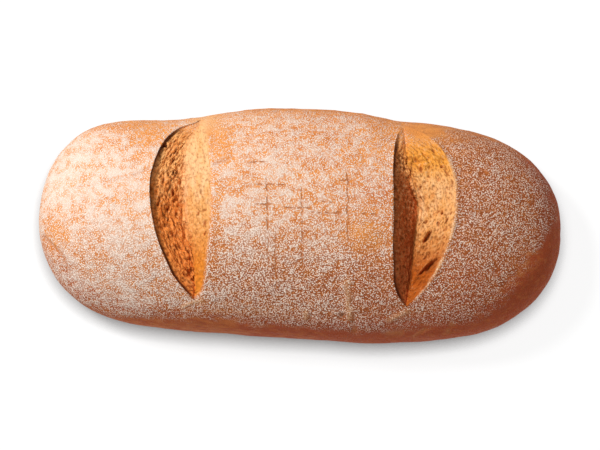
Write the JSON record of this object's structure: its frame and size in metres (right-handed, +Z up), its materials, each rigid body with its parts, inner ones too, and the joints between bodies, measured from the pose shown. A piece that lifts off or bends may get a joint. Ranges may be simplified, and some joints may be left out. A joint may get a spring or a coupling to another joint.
{
  "type": "oblong bread loaf",
  "caption": "Free-standing oblong bread loaf with rounded ends, a domed flour-dusted crust, a flat base and scores across the top that opened into crescents in the oven.",
  "frame": {"origin": "on the base plane, under the middle of the bounding box", "axes": "+X along the loaf, towards the end beside the deeper, straight-lipped score; +Y across it, towards the side with the waists; +Z up from the flat base"},
  "size_m": [0.2998, 0.133, 0.084],
  "materials": {
    "crust": "matt baked crust, dusted with flour; orange and porous in the opened scores"
  },
  "bodies": {
    "root": {"loaf": "crust"}
  },
  "joints": []
}
